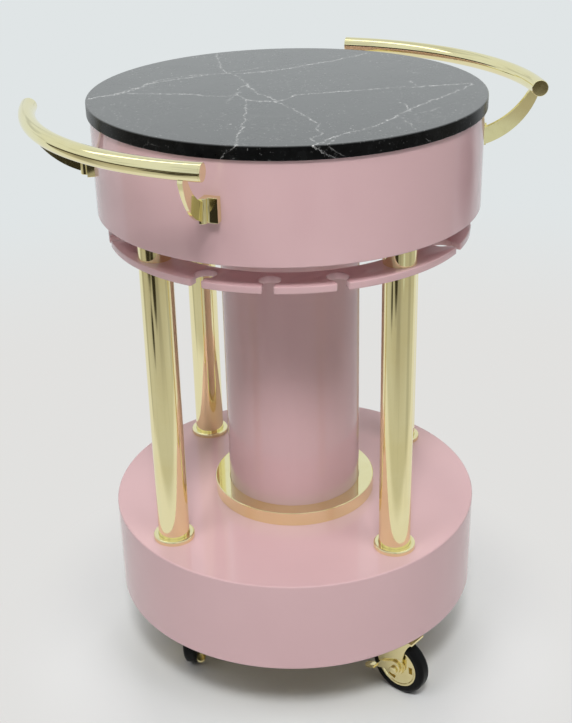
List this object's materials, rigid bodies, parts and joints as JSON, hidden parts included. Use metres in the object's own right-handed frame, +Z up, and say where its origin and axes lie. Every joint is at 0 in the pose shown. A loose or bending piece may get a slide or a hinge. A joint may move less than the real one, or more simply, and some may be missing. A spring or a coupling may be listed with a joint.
{
  "type": "champagne cart",
  "caption": "Round serving cart with a black stone top on a lacquered drum, a hanging stemware ring, brass columns and handles, a drum base and braked swivel casters",
  "frame": {"origin": "on the floor under the middle of the cart", "axes": "+Z up; +X to the right handle, -X to the left handle; -Y is the front"},
  "size_m": [0.8064, 0.6424, 0.9805],
  "materials": {
    "lacquer": "gloss pink lacquer",
    "brass": "mirror polished",
    "black_marble": "polished, white veins",
    "panel": "plain plywood",
    "steel": "zinc plated",
    "rubber": "soft sheen"
  },
  "bodies": {
    "cart": {"marble_top": "black_marble", "top_underlay": "panel", "drum_shell": "lacquer", "drum_floor": "lacquer", "stemware_ring": "lacquer", "pedestal_tube": "lacquer", "pedestal_ring": "brass", "pedestal_plugs": "panel", "plug_screws": "steel", "base_top": "lacquer", "base_shell": "lacquer", "base_floor": "panel", "tie_rods": "steel", "tie_rod_nuts": "steel", "left_handle_tube": "brass", "right_handle_tube": "brass", "handle_end_caps": "brass", "bracket_screws": "steel", "caster_king_pins": "steel", "caster_screws": "steel", "bracket_left_front": "brass", "bracket_left_back": "brass", "bracket_right_front": "brass", "bracket_right_back": "brass", "column_front": "brass", "spacer_front": "brass", "collar_front": "brass", "caster_plate_front": "steel", "column_right": "brass", "spacer_right": "brass", "collar_right": "brass", "caster_plate_right": "steel", "column_back": "brass", "spacer_back": "brass", "collar_back": "brass", "caster_plate_back": "steel", "column_left": "brass", "spacer_left": "brass", "collar_left": "brass", "caster_plate_left": "steel"},
    "fork_front": {"caster_fork_front": "brass", "caster_axle_front": "brass"},
    "wheel_front": {"wheel_hub_front": "brass", "tyre_front": "rubber"},
    "brake_front": {"brake_lever_front": "brass"},
    "fork_right": {"caster_fork_right": "brass", "caster_axle_right": "brass"},
    "wheel_right": {"wheel_hub_right": "brass", "tyre_right": "rubber"},
    "brake_right": {"brake_lever_right": "brass"},
    "fork_back": {"caster_fork_back": "brass", "caster_axle_back": "brass"},
    "wheel_back": {"wheel_hub_back": "brass", "tyre_back": "rubber"},
    "brake_back": {"brake_lever_back": "brass"},
    "fork_left": {"caster_fork_left": "brass", "caster_axle_left": "brass"},
    "wheel_left": {"wheel_hub_left": "brass", "tyre_left": "rubber"},
    "brake_left": {"brake_lever_left": "brass"}
  },
  "joints": [
    {"name": "swivel_front", "type": "hinge", "parent": "cart", "child": "fork_front", "pos_m": [0, -0.237, 0.1126], "axis": [0, 0, 1], "continuous": true},
    {"name": "roll_front", "type": "hinge", "parent": "fork_front", "child": "wheel_front", "pos_m": [0.00649, -0.27037, 0.0508], "axis": [0.9816, 0.1908, 0], "continuous": true},
    {"name": "brake_front", "type": "hinge", "parent": "fork_front", "child": "brake_front", "pos_m": [0.00649, -0.27037, 0.0508], "axis": [0.9816, 0.1908, 0], "range_deg": [0, 22]},
    {"name": "swivel_right", "type": "hinge", "parent": "cart", "child": "fork_right", "pos_m": [0.237, 0, 0.1126], "axis": [0, 0, 1], "continuous": true},
    {"name": "roll_right", "type": "hinge", "parent": "fork_right", "child": "wheel_right", "pos_m": [0.21425, -0.02527, 0.0508], "axis": [0.7431, -0.6691, 0], "continuous": true},
    {"name": "brake_right", "type": "hinge", "parent": "fork_right", "child": "brake_right", "pos_m": [0.21425, -0.02527, 0.0508], "axis": [0.7431, -0.6691, 0], "range_deg": [0, 22]},
    {"name": "swivel_back", "type": "hinge", "parent": "cart", "child": "fork_back", "pos_m": [0, 0.237, 0.1126], "axis": [0, 0, 1], "continuous": true},
    {"name": "roll_back", "type": "hinge", "parent": "fork_back", "child": "wheel_back", "pos_m": [-0.00707, 0.27026, 0.0508], "axis": [-0.9781, -0.2079, 0], "continuous": true},
    {"name": "brake_back", "type": "hinge", "parent": "fork_back", "child": "brake_back", "pos_m": [-0.00707, 0.27026, 0.0508], "axis": [-0.9781, -0.2079, 0], "range_deg": [0, 22]},
    {"name": "swivel_left", "type": "hinge", "parent": "cart", "child": "fork_left", "pos_m": [-0.237, 0, 0.1126], "axis": [0, 0, 1], "continuous": true},
    {"name": "roll_left", "type": "hinge", "parent": "fork_left", "child": "wheel_left", "pos_m": [-0.21173, 0.02275, 0.0508], "axis": [-0.6691, 0.7431, 0], "continuous": true},
    {"name": "brake_left", "type": "hinge", "parent": "fork_left", "child": "brake_left", "pos_m": [-0.21173, 0.02275, 0.0508], "axis": [-0.6691, 0.7431, 0], "range_deg": [0, 22]}
  ]
}
